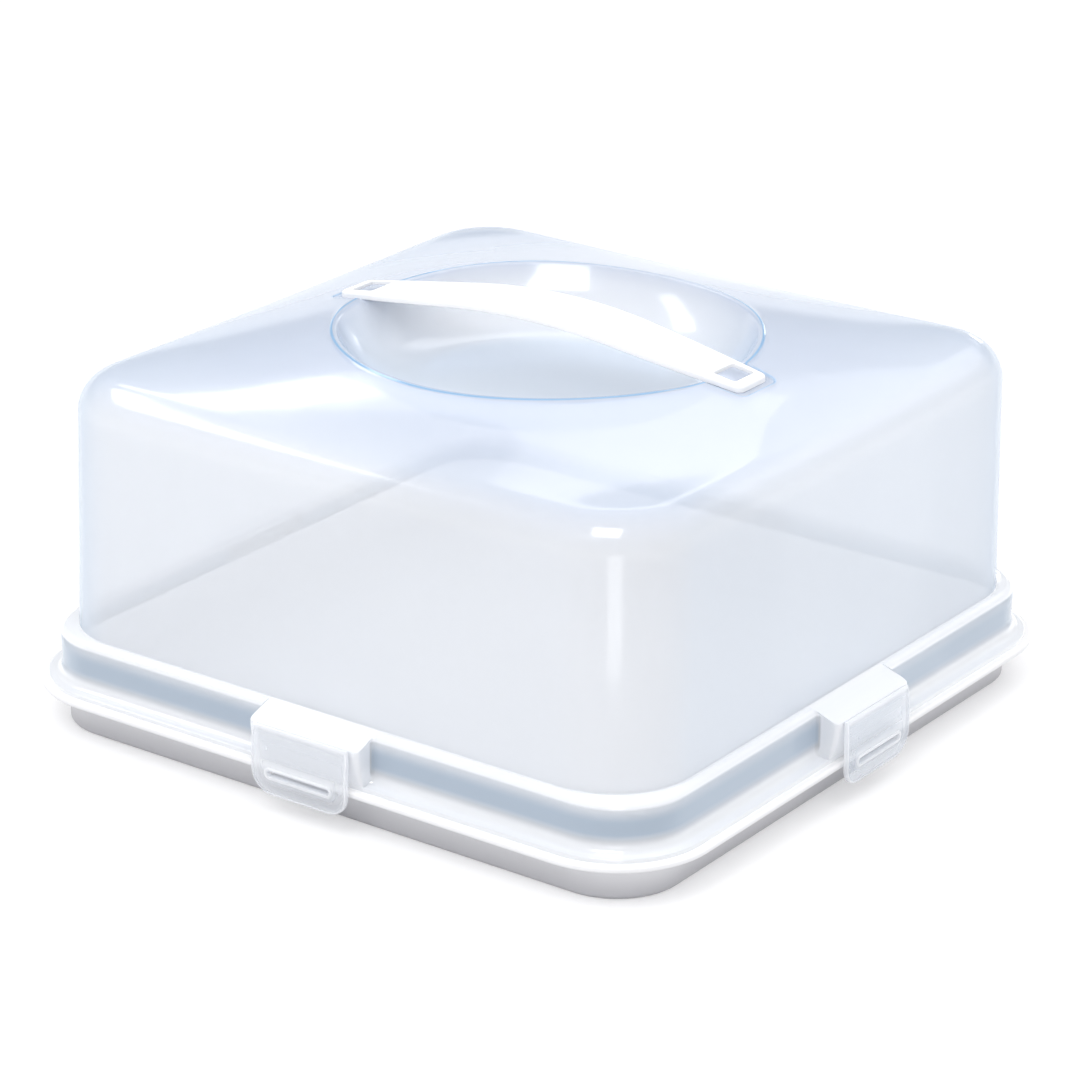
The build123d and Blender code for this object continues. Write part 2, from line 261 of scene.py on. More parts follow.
class Value:
    """A shader socket that Python's own arithmetic turns into Math nodes."""

    def __init__(self, finish, socket):
        self.finish = finish
        self.socket = socket

    def math(self, operation, *values, clamp=False):
        """A Math node on these values."""
        settings = {"operation": operation, "use_clamp": clamp}
        return self.finish.node("ShaderNodeMath", settings, dict(enumerate(values)))

    def __add__(self, other):
        return self.math("ADD", self, other)

    def __sub__(self, other):
        return self.math("SUBTRACT", self, other)

    def __rsub__(self, other):
        return self.math("SUBTRACT", other, self)

    def __mul__(self, other):
        return self.math("MULTIPLY", self, other)

    def __pow__(self, other):
        return self.math("POWER", self, other)

    __radd__ = __add__
    __rmul__ = __mul__

    def held(self):
        """The value held between 0 and 1."""
        return self.math("ADD", self, 0.0, clamp=True)

    def beside(self, name):
        """Another output of the same node."""
        return Value(self.finish, self.socket.node.outputs[name])


class Finish:
    """A node tree of a material or world, made one node at a time."""

    def __init__(self, name, owner=None):
        self.owner = owner or bpy.data.materials.new(name)
        self.owner.use_nodes = True
        self.tree = self.owner.node_tree
        self.tree.nodes.clear()

    def node(self, kind, settings, sockets, output=0):
        """A node of this kind: its settings come first, then its sockets' values or links."""
        made = self.tree.nodes.new(kind)
        for name, setting in settings.items():
            setattr(made, name, setting)
        for place, value in sockets.items():
            if isinstance(value, Value):
                self.tree.links.new(value.socket, made.inputs[place])
            else:
                made.inputs[place].default_value = value
        return Value(self, made.outputs[output])

    def place(self):
        """The piece's own coordinates, as three values."""
        parts = self.node("ShaderNodeTexCoord", {}, {}, output="Object")
        parts = self.node("ShaderNodeSeparateXYZ", {}, {"Vector": parts})
        return parts, parts.beside("Y"), parts.beside("Z")

    def noise(self, scale):
        """Noise in the piece's own coordinates, from 0 to 1."""
        place = self.node("ShaderNodeTexCoord", {}, {}, output="Object")
        return self.node("ShaderNodeTexNoise", {}, {"Vector": place, "Scale": scale, "Detail": 2.0})

    def rise(self, value, low, high):
        """A share that rises smoothly from 0 at low to 1 at high."""
        settings = {"interpolation_type": "SMOOTHSTEP"}
        sockets = {"Value": value, "From Min": low, "From Max": high}
        return self.node("ShaderNodeMapRange", settings, sockets)

    def band(self, value, low, full, fall, high):
        """A share that rises from 0 at low to 1 at full, and falls again from fall to high."""
        return self.rise(value, low, full) * self.rise(value, high, fall)

    def mix(self, amount, low, high):
        """A colour between two, by amount."""
        first, second = (c if isinstance(c, Value) else (*c, 1.0) for c in (low, high))
        return self.node("ShaderNodeMix", {"data_type": "RGBA"}, {0: amount, 6: first, 7: second}, output=2)

    def bump(self, height, distance):
        """The normal that a height gives."""
        return self.node("ShaderNodeBump", {}, {"Height": height, "Distance": distance})

    def principled(self, sockets):
        """Ends the material in a Principled surface."""
        return self.end(self.node("ShaderNodeBsdfPrincipled", {}, sockets), "ShaderNodeOutputMaterial")

    def end(self, surface, kind):
        """Links a surface to the output, and gives back the material or world."""
        end = self.tree.nodes.new(kind)
        self.tree.links.new(surface.socket, end.inputs["Surface"])
        return self.owner


def pocket_edge(finish, x, y):
    """A share that is 1 along the edge of the pockets that hold the strap's ends, where a painted shade
    line goes.
    """
    cover, strap = bpy.context.scene.cake_cover, bpy.context.scene.cake_strap
    corner, reach = cover.pocket_corner, HANDLE_END + cover.pocket_gap
    narrowing = (strap.width - strap.end_width) / 2 / reach ** 2
    along, across = x.math("ABSOLUTE", x), y.math("ABSOLUTE", y)
    side = across + narrowing * along * along - (strap.width / 2 + cover.pocket_gap - corner)
    past = x.math("MAXIMUM", along - (reach - corner), 0.0)
    side = x.math("MAXIMUM", side, 0.0)
    out = (past * past + side * side) ** 0.5
    beyond_dish = finish.rise(along, cover.dish + 2 * MM, cover.dish + 4 * MM)
    return beyond_dish * finish.band(out, *(corner + shift * MM for shift in POCKET_LINE))


def cover_tones(finish, colours, tint):
    """The cover's tint with painted shade on its top, skirt and fine lines, painted highlights on its
    ledges and platforms, and the haze of its skirt and beads.
    """
    x, y, z = finish.place()
    aside = y.math("ABSOLUTE", y) * (1 / MM)
    half = x.math("MAXIMUM", x.math("ABSOLUTE", x) * (1 / MM), aside)
    up = (z - RIM_TOP) * (1 / MM)
    out = ((x * x + y * y) ** 0.5) * (1 / MM)

    # Painted shade: the crowned top is painted darker and bluer than the walls, and the hand dish in it
    # less so
    painted_top_shade = finish.rise(up, *CROWN_HEIGHTS) * (0.35 + 0.4 * finish.rise(out, *DISH_OUT))
    tint = finish.mix(painted_top_shade, tint, colours.clear_top_shade)

    # Painted highlight: ledge, latch bays and flange are painted pale where they catch the light
    ledge, bay = finish.band(up, *LEDGE_HEIGHTS), finish.rise(half, *BAY_SIDE)
    painted_highlight = (ledge + bay + finish.rise(up, *FLANGE_HEIGHTS)).held()

    # Painted shade: the skirt is painted dark in its middle, but not where the bays stand out of it
    band = finish.band(up, *SKIRT_HEIGHTS) * finish.rise(half, *SKIRT_SIDE)
    tint = finish.mix(band, tint, colours.skirt_shade)

    # Painted shade lines: dark blue along the bead round the dish, but not over the studs, and along the
    # pockets' edges
    bead_shade_line = finish.band(out, *BEAD_OUT) * finish.rise(up, *BEAD_HEIGHTS) * finish.rise(aside, *STUD_SIDE)
    line = (bead_shade_line + 0.7 * pocket_edge(finish, x, y) * finish.rise(up, *POCKET_HEIGHTS)).held()
    tint = finish.mix(line, tint, colours.clear_line)
    return tint, painted_highlight, 0.4 * band + 0.3 * line


def clear_plastic(name, colours, whole_cover=False):
    """Clear polypropylene: a milky blue haze, thicker where the wall is seen along itself, with painted
    highlights that are pale and less clear.
    """
    finish = Finish(name)
    facing = finish.node("ShaderNodeLayerWeight", {}, {"Blend": 0.5}, output="Facing")
    haze = (colours.haze + 0.06 * (finish.noise(7.0) - 0.5) + colours.edge_haze * facing ** 2.0).held()
    tint = finish.mix(facing ** 2.0, colours.clear_face, colours.clear_edge)
    if whole_cover:
        tint, painted_highlight, more = cover_tones(finish, colours, tint)
        haze = haze + more
    else:
        # Painted highlight on the latches' edges and slot borders, kept as a share on each vertex
        painted_highlight = finish.node("ShaderNodeAttribute", {"attribute_name": "painted_highlight"}, {}, output="Fac")
        haze = haze * 0.55
    # Painted highlight: mixed towards the pale colour and made less clear
    tint = finish.mix(painted_highlight, tint, colours.highlight_pale)
    haze = (haze + 0.35 * painted_highlight).held()
    grain = finish.bump(finish.noise(14.0), 0.0006)
    return finish.principled({
        "Base Color": tint, "Roughness": 0.16, "Alpha": haze, "Normal": grain,
        "Coat Weight": 0.6, "Coat Roughness": 0.04,
    })


def painted_tray_shade(finish, shade, edge_shade, foot_shade):
    """Painted shade that gets darker down the outside of the tray, from the rim's edge to the foot."""
    x, y, z = finish.place()
    far_x, far_y = (v.math("ABSOLUTE", v) * (1 / MM) - TRAY_STRAIGHT for v in (x, y))
    past_x, past_y = (v.math("MAXIMUM", v, 0.0) for v in (far_x, far_y))
    outside = finish.rise((past_x * past_x + past_y * past_y) ** 0.5, *TRAY_ARC)
    down = (RIM_TOP - z) * (1 / MM)
    shade = finish.mix(outside * finish.rise(down, *TRAY_EDGE_DEPTHS), shade, tuple(edge_shade))
    return finish.mix(outside * finish.rise(down, *TRAY_FOOT_DEPTHS), shade, tuple(foot_shade))


def white_plastic(name, tone, roughness, side_shades=None):
    """White polypropylene with a faint grain and slow changes of tone, and painted shade down the tray's
    sides.
    """
    finish = Finish(name)
    grain = finish.bump(finish.noise(900.0), 0.00003)
    shade = finish.mix(finish.noise(9.0), tuple(0.985 * c for c in tone), tuple(tone))
    if side_shades:
        shade = painted_tray_shade(finish, shade, *side_shades)
    gloss = roughness - 0.04 + 0.08 * finish.noise(40.0)
    return finish.principled({"Base Color": shade, "Roughness": gloss, "Normal": grain})


# The cover's mesh is a loft of rings. Each column runs out along the inside and back along the outside

def between(low, high, share):
    """A value part of the way from low to high."""
    return low + (high - low) * share


def shares(steps):
    """Evenly spaced shares, from the first step's up to 1."""
    return [step / steps for step in range(1, steps + 1)]


def quarter(steps):
    """Evenly spaced turns from none to a right angle."""
    return [pi / 2 * share for share in (0.0, *shares(steps))]


def curled(half, corner, height, radius, turn):
    """A rounded edge's half width, corner and height at a turn. A hollow's radius is negative."""
    shift = radius * (1 - cos(turn))
    return half - shift, corner - shift, height - radius * (1 - sin(turn))


def eased(share):
    """A share that starts and ends gently."""
    share = min(max(share, 0.0), 1.0)
    return share * share * (3 - 2 * share)


class Column:
    """One line of the cover's mesh on the right-hand side, from the middle of the dish to the foot."""

    def __init__(self, along=0.0, share=0.0, turn=None, bay=0.0):
        self.along = along
        self.share = share
        self.turn = turn
        self.bay = bay
        self.outward = (1.0, 0.0) if turn is None else (cos(turn), sin(turn))
        self.in_strip = turn is None and share == 0

    def on(self, half, radius):
        """This column's place on a rounded square, as distances outwards and along the side."""
        middle = half - radius
        if self.turn is not None:
            return middle + radius * cos(self.turn), middle + radius * sin(self.turn)
        return half, self.along + self.share * (middle - self.along)


def half_side(cover, strap):
    """The columns from the middle of a side to its corner."""
    end = cover.pocket_gap + strap.end_width / 2
    edge, bay, curl = cover.pocket_edge, cover.bay_half, cover.bay_round
    inner = [0.0, 0.16, 0.32, 0.48, 0.62, 0.74, 0.83]
    columns = [Column(along=share * end) for share in inner]
    columns += [Column(along=end - edge * (1 - step / 5)) for step in range(6)]
    columns += [Column(along=between(end, bay - curl, share)) for share in (0.04, 0.12, 0.3, 0.52, 0.76)]
    for column in columns:
        column.bay = 1.0
    for turn in quarter(5):
        columns.append(Column(along=bay - curl * (1 - sin(turn)), bay=1 - 0.2 * (1 - cos(turn))))
    columns += [Column(along=bay, bay=share) for share in (0.55, 0.3, 0.12)]
    columns += [Column(along=bay + 0.25 * curl, bay=0.03), Column(along=bay + 0.6 * curl)]
    columns += [Column(along=bay + 0.6 * curl, share=share) for share in shares(8)]
    columns += [Column(turn=step * pi / 28) for step in range(1, 8)]
    return columns


def strap_top_at(strap, x):
    """Height of the strap's top on its straight arm, at a distance from its middle."""
    return HANDLE_TOP - strap.bend / 2 * tan(strap.slope / 2) - tan(strap.slope) * (x - strap.bend / 2)


def pocket_half_width(cover, strap, out):
    """Half the width of a pocket, at a distance from the middle of the cover."""
    middle, tip = strap.width / 2, strap.end_width / 2
    reach = HANDLE_END + cover.pocket_gap
    return middle + cover.pocket_gap - (middle - tip) * min(out / reach, 1.0) ** 2


class Top:
    """The crowned top, the strap's pockets and the dish, on one side of the shell."""

    def __init__(self, cover, strap, inset):
        self.cover = cover
        self.strap = strap
        self.inset = inset
        run, depth = cover.dish - cover.dish_floor, cover.dish_depth
        self.bowl = (run * run + depth * depth) / (2 * depth)
        self.bowl_centre = self.crown(cover.dish, 0) - depth + self.bowl + inset
        self.reach = self.bowl + inset

    def crown(self, x, y):
        """Height of the crown."""
        c = self.cover
        rise = c.crown_rise * (1 - (x / c.crown_half) ** 2) * (1 - (y / c.crown_half) ** 2)
        return c.eaves + rise - self.inset

    def pocket_floor(self, x):
        """Height of a pocket's floor, on which the strap lies."""
        return strap_top_at(self.strap, x) - self.strap.thickness / cos(self.strap.slope) - self.inset

    def pocket_share(self, x, y, most):
        """How far a place lies inside a pocket, where most is what its column reaches there."""
        c = self.cover
        out = HANDLE_END + c.pocket_gap - x
        if most == 0 or out > c.pocket_corner:
            return most
        across = max(pocket_half_width(c, self.strap, x) - abs(y), 0.0)
        depth = out
        if across < c.pocket_corner:
            depth = c.pocket_corner - hypot(c.pocket_corner - across, c.pocket_corner - out)
        return min(most, eased(depth / c.pocket_edge))

    def height(self, x, y, most=0.0):
        """Height of the top, pockets included."""
        top = self.crown(x, y)
        share = self.pocket_share(x, y, most)
        return top - share * max(top - self.pocket_floor(x), 0.0)

    def slope(self, x, y):
        """The crown's slopes along X and Y."""
        step = 0.1 * MM
        return (
            (self.crown(x + step, y) - self.crown(x - step, y)) / (2 * step),
            (self.crown(x, y + step) - self.crown(x, y - step)) / (2 * step),
        )


def turned(first, second, share):
    """A direction part of the way round from first to second."""
    whole = first.angle(second)
    if whole < 1e-6:
        return first.copy()
    return (first * sin((1 - share) * whole) + second * sin(share * whole)) / sin(whole)


class Lofted:
    """The whole cover, as one list of heights and places for each column."""

    def __init__(self, cover, strap):
        self.cover = cover
        self.strap = strap
        self.limit = cover.pocket_gap + strap.end_width / 2
        self.border = cover.bay_half + 0.6 * cover.bay_round

    def past_pocket(self, column):
        """How far a column lies past the pocket's side, as a share of the way to the strip's border."""
        return max((column.along - self.limit) / (self.border - self.limit), 0.0)

    def across(self, column, x):
        """How far along the side a column of the strip lies, at a distance from the box's middle."""
        width = pocket_half_width(self.cover, self.strap, x)
        if column.along > self.limit:
            return between(width, self.border, self.past_pocket(column))
        return column.along / self.limit * width

    def wall_at(self, height, inset):
        """Half width and corner radius of the walls at a height."""
        c = self.cover
        ledge = RIM_TOP + c.skirt_height
        half = c.foot_half - tan(c.draft) * (height - ledge) - inset
        share = (height - ledge) / (c.eaves + c.crown_rise - ledge)
        return half, between(c.foot_corner, c.top_corner, share) - inset

    def dish_lip(self, column, side, top, most, radius_scale):
        """Bearing, place and radius of the ball that rounds the dish's rim, and where it touches."""
        c = self.cover
        near = c.dish + c.dish_lip
        if column.in_strip:
            bearing = asin(self.across(column, near) / near)
        else:
            out, along = column.on(c.crown_half, c.top_corner - c.top_round)
            start = atan2(self.border, c.crown_half)
            share = (atan2(along, out) - start) / (pi / 4 - start)
            bearing = between(asin(self.border / near), pi / 4, share)
        facing = Vector((cos(bearing), sin(bearing), 0.0))
        beside_strap = eased(1.6 - 2.6 * abs(bearing) / (pi / 4)) if side in STRAP_SIDES else 0.0
        radius = between(c.dish_lip, c.dish_lip_soft, beside_strap) * radius_scale
        out = c.dish + radius
        step = 0.2 * MM
        for _ in range(8):
            here = top.height(facing.x * out, facing.y * out, most)
            steep = (top.height(facing.x * (out + step), facing.y * (out + step), most) - here) / step
            centre = here - radius * sqrt(1 + steep * steep)
            out = c.dish_floor + sqrt(max((top.reach + radius) ** 2 - (top.bowl_centre - centre) ** 2, 0.0))
        up = Vector((-steep, 0.0, 1.0)).normalized()
        towards = Vector((c.dish_floor - out, 0.0, top.bowl_centre - centre)).normalized()
        return facing, out, centre, radius, up, towards, 1 - beside_strap

    def strip_lines(self, column, start, finish):
        """Places across the strip beside the strap's end: up to the pocket's end, over it, and on."""
        c = self.cover
        end = HANDLE_END + c.pocket_gap
        width = pocket_half_width(c, self.strap, end)
        share = min(max((self.across(column, end) - width) / c.pocket_corner + 1, 0.0), 0.97)
        bend = c.pocket_corner * (1 - sqrt(1 - share * share)) * (1 - eased(self.past_pocket(column)))
        inner, outer = end - 1.5 * c.pocket_edge - bend, end + 0.4 * c.pocket_edge - bend
        before, over, past = (shares(steps) for steps in STRIP_STEPS)
        places = []
        for share in before:
            x = between(start.x, inner, share)
            places.append((x, between(start.y, self.across(column, x), eased(2 * share))))
        for share in over:
            x = between(inner, outer, share)
            places.append((x, self.across(column, x)))
        for share in past:
            x = between(outer, finish[0], share)
            places.append((x, between(self.across(column, x), finish[1], share)))
        return places

    def top_points(self, column, side, inset, lip_scale):
        """Places from the dish's middle out over the crown and down to the top of the wall."""
        c = self.cover
        top = Top(c, self.strap, inset)
        most = 0.0
        if column.in_strip and side in STRAP_SIDES:
            most = eased((self.limit - column.along) / c.pocket_edge)
        facing, out, centre, radius, up, towards, beaded = self.dish_lip(column, side, top, most, lip_scale)
        rise = Vector((0, 0, 1))
        floor = top.bowl_centre - top.reach
        points = [facing * (c.dish_floor * share) + rise * floor for share in (0.03, 0.4, 0.75, 0.92)]
        steepest = atan2(-towards.x, towards.z)
        for share in (0.0, *shares(14)):
            turn = steepest * share
            away = c.dish_floor + top.reach * sin(turn)
            points.append(facing * away + rise * (top.bowl_centre - top.reach * cos(turn)))
        for share in shares(6):
            way = turned(towards, up, share)
            points.append(facing * (out + radius * way.x) + rise * (centre + radius * way.z))
        lip = points[-1].copy()
        for share in shares(8):
            x, y = (lip + facing * (c.bead_width * share)).xy
            bulge = c.bead_rise * beaded * sin(pi * share) ** 2 if inset == 0 else 0.0
            points.append(Vector((x, y, top.height(x, y, most) + bulge)))
        lip = points[-1].copy()

        ball = c.top_round - inset
        half, corner = self.wall_at(c.eaves - c.top_round, c.top_round)
        x0, y0 = column.on(half, corner)
        x, y = x0, y0
        for _ in range(8):
            a, b = top.slope(x, y)
            normal = Vector((-a, -b, 1.0)).normalized()
            x, y = x0 + ball * normal.x, y0 + ball * normal.y
        ball_height = top.crown(x, y) - ball * normal.z

        if column.in_strip:
            places = self.strip_lines(column, lip, (x, y))
        else:
            steps = shares(sum(STRIP_STEPS))
            places = [(between(lip.x, x, share), between(lip.y, y, share)) for share in steps]
        points += [Vector((*place, top.height(*place, most))) for place in places]
        level = Vector((column.outward[0] * cos(c.draft), column.outward[1] * cos(c.draft), sin(c.draft)))
        for share in shares(12):
            points.append(Vector((x0, y0, ball_height)) + ball * turned(normal, level, share))
        return points

    def wall_points(self, column, start, inset):
        """Places from the top of the wall down to just above its foot."""
        ledge = RIM_TOP + self.cover.skirt_height
        points = []
        for share in (0.12, 0.3, 0.5, 0.7, 0.88, 0.97):
            height = between(start.z, ledge, share)
            points.append(Vector((*column.on(*self.wall_at(height, inset)), height)))
        return points

    def bay_front(self, share, inset):
        """A place on a bay's front, from its heel up to its brow."""
        c = self.cover
        heel = RIM_TOP + c.flange_height
        out = between(c.bay_front - c.bay_lean, c.bay_front, share) + 4 * c.bay_bulge * share * (1 - share)
        return out - inset, between(heel, c.bay_brow, share)

    def bay_top(self, share, inset):
        """A place on a bay's sloping platform, from its lip up to the wall."""
        c = self.cover
        ledge = RIM_TOP + c.skirt_height
        steep = (ledge - c.bay_lip) / (c.bay_front - c.foot_half)
        out = between(c.bay_front, c.foot_half, share)
        height = between(c.bay_lip, ledge, share)
        slant = hypot(1, steep)
        return out - inset * steep / slant, height - inset / slant

    def foot_points(self, column, inside):
        """Places from the wall's foot down over the ledge and skirt, to the underside of the flange."""
        c = self.cover
        ledge, flange = RIM_TOP + c.skirt_height, RIM_TOP + c.flange_height
        if inside:
            half, corner = c.skirt_inner, c.skirt_corner - (c.skirt_outer - c.skirt_inner)
            under, curl = ledge - c.wall, c.shoulder_round - c.wall
            rows = [((c.foot_half - c.wall, c.foot_corner - c.wall, under), (c.foot_half - c.wall, under))]
            for turn, share in zip(quarter(3)[::-1], (0.7, 0.35, 0.14, 0.03)):
                rows.append((curled(half, corner, under, curl, turn), self.bay_top(share, c.wall)))
            heights = (ledge - 2 * curl, between(flange, ledge, 0.4), flange)
            for height, share in zip(heights, (1.0, 0.5, 0.0)):
                rows.append(((half, corner, height), self.bay_front(share, c.wall)))
            rows.append(((half, corner, RIM_TOP), (self.bay_front(0, c.wall)[0], RIM_TOP)))
        else:
            half, corner, curl, root = c.skirt_outer, c.skirt_corner, c.shoulder_round, c.root_round
            fine, small = 0.12 * MM, 0.3 * MM
            rows = [
                ((c.foot_half, c.foot_corner, ledge + small), (c.foot_half, ledge + small)),
                ((c.foot_half + small, c.foot_corner, ledge), self.bay_top(0.97, 0)),
            ]
            lip = [self.bay_top(share, 0) for share in (0.75, 0.5, 0.28, 0.12, 0.05)]
            lip += [(c.bay_front - fine, c.bay_lip - fine), (c.bay_front, c.bay_lip - 0.5 * MM)]
            for turn, place in zip(quarter(6)[::-1], lip):
                rows.append((curled(half, corner, ledge, curl, turn), place))
            for height, share in ((0.75, 1.0), (0.5, 0.75), (0.25, 0.5)):
                place = (half, corner, between(flange + root, ledge - curl, height))
                rows.append((place, self.bay_front(share, 0)))
            for share in (0.0, *shares(5)):
                place = curled(half, corner, flange, -root, pi / 2 * share)
                rows.append((place, self.bay_front(0.3 * (1 - share), 0)))
            for turn in quarter(3)[::-1]:
                place = curled(c.flange_half, c.flange_corner, flange, c.flange_edge, turn)
                rows.append((place, (c.flange_half - 0.1 * MM * (1 - cos(turn)), place[2])))
            rows.append(((c.flange_half, c.flange_corner, RIM_TOP), (c.flange_half, RIM_TOP)))
        points = []
        shift = -c.wall * min(column.along / c.bay_half, 1.0) if inside else 0.0
        for (half, corner, height), (bay_out, bay_height) in rows:
            out, along = column.on(half, corner)
            if column.turn is None:
                along += shift * (1 - column.share)
            out, height = between(out, bay_out, column.bay), between(height, bay_height, column.bay)
            points.append(Vector((out, along, height)))
        return points

    def column_points(self, column, side):
        """A column's places: along the inside from the dish's middle to the foot, then back outside."""
        inner = self.top_points(column, side, self.cover.wall, 0.7)
        inner += self.wall_points(column, inner[-1], self.cover.wall)
        inner += self.foot_points(column, True)
        outer = self.top_points(column, side, 0.0, 1.0)
        outer += self.wall_points(column, outer[-1], 0.0)
        outer += self.foot_points(column, False)
        return inner + outer[::-1]


def rings_of(cover, strap):
    """The places of every ring of the cover, from the inside of the dish round to its outside."""
    half = half_side(cover, strap)
    loft = Lofted(cover, strap)
    columns = []
    for side in range(4):
        turn = Matrix.Rotation(side * pi / 2, 3, "Z")
        lines = [loft.column_points(column, side) for column in half]
        mirrored = [[Vector((p.x, -p.y, p.z)) for p in line] for line in lines[1:-1]]
        for line in mirrored[::-1] + lines:
            columns.append([turn @ p for p in line])
    return list(zip(*columns))


def shaded_mesh(name, bm):
    """A smooth-shaded object from a bmesh, with its sharp edges marked."""
    bmesh.ops.recalc_face_normals(bm, faces=bm.faces)
    for face in bm.faces:
        face.smooth = True
    for edge in bm.edges:
        edge.smooth = edge.calc_face_angle(0.0) < SHARP_ANGLE
    mesh = bpy.data.meshes.new(name)
    bm.to_mesh(mesh)
    bm.free()
    made = bpy.data.objects.new(name, mesh)
    bpy.context.scene.collection.objects.link(made)
    return made


def skin(bm, rings, closed=False, painted_highlight=None):
    """Skins rings of equal count. The last ring joins the first, or both ends are capped.

    The last argument gives each ring's share of the painted highlight that edges and borders have.
    """
    layer = bm.verts.layers.float.get("painted_highlight") or bm.verts.layers.float.new("painted_highlight")
    painted_highlight = painted_highlight or [0.0] * len(rings)
    known = set(bm.edges)
    made = bmesh.ops.create_circle(bm, segments=len(rings[0]), radius=1.0, cap_ends=False)["verts"]
    bm.verts.index_update()
    ring = sorted(made, key=lambda v: v.index)
    first_ring = ring
    for vert, place in zip(ring, rings[0]):
        vert.co = place
        vert[layer] = painted_highlight[0]
    first = [edge for edge in bm.edges if edge not in known]
    last = first
    for places, share in list(zip(rings, painted_highlight))[1:] + [(rings[0], painted_highlight[0])] * closed:
        out = bmesh.ops.extrude_edge_only(bm, edges=last)["geom"]
        fresh = {v for v in out if isinstance(v, bmesh.types.BMVert)}
        ring = [next(e.other_vert(v) for e in v.link_edges if e.other_vert(v) in fresh) for v in ring]
        for vert, place in zip(ring, places):
            vert.co = place
            vert[layer] = share
        last = [e for e in out if isinstance(e, bmesh.types.BMEdge) and e.is_boundary]
    if closed:
        bmesh.ops.weld_verts(bm, targetmap=dict(zip(ring, first_ring)))
    else:
        for loop in (first, last):
            bmesh.ops.contextual_create(bm, geom=loop)


def rounded(half, low, high, low_radius, high_radius):
    """A rectangle's outline with rounded corners, as places across and up."""
    corners = (
        (half - low_radius, low + low_radius, low_radius),
        (half - high_radius, high - high_radius, high_radius),
        (high_radius - half, high - high_radius, high_radius),
        (low_radius - half, low + low_radius, low_radius),
    )
    turns = [
        [(a + r * cos(t), h + r * sin(t)) for t in (pi / 2 * (corner - 1 + step / 8) for step in range(9))]
        for corner, (a, h, r) in enumerate(corners)
    ]
    line = []
    for corner, arc in enumerate(turns):
        line += arc
        following = turns[(corner + 1) % 4][0]
        pieces = 12 if corner % 2 else 4
        for step in range(1, pieces):
            line.append(tuple(between(a, b, step / pieces) for a, b in zip(arc[-1], following)))
    return line


def add_studs(bm, strap, stud):
    """Adds the two studs that fill the strap's windows."""
    middle = HANDLE_END - strap.window_from_end
    half_long = strap.window_length / 2 - stud.clearance
    half_wide = strap.window_width / 2 - stud.clearance
    deep = strap.thickness / cos(strap.slope)
    levels = [(0.0, deep)]
    for turn in quarter(4):
        levels.append((stud.edge * (1 - cos(turn)), stud.below_strap + stud.edge * (1 - sin(turn))))
    for way in (1, -1):
        rings = []
        for inset, depth in levels:
            radius = stud.corner - inset
            low, high = middle - half_long + inset, middle + half_long - inset
            line = rounded(half_wide - inset, low, high, radius, radius)
            rings.append([Vector((way * x, way * y, strap_top_at(strap, x) - depth)) for y, x in line])
        skin(bm, rings)


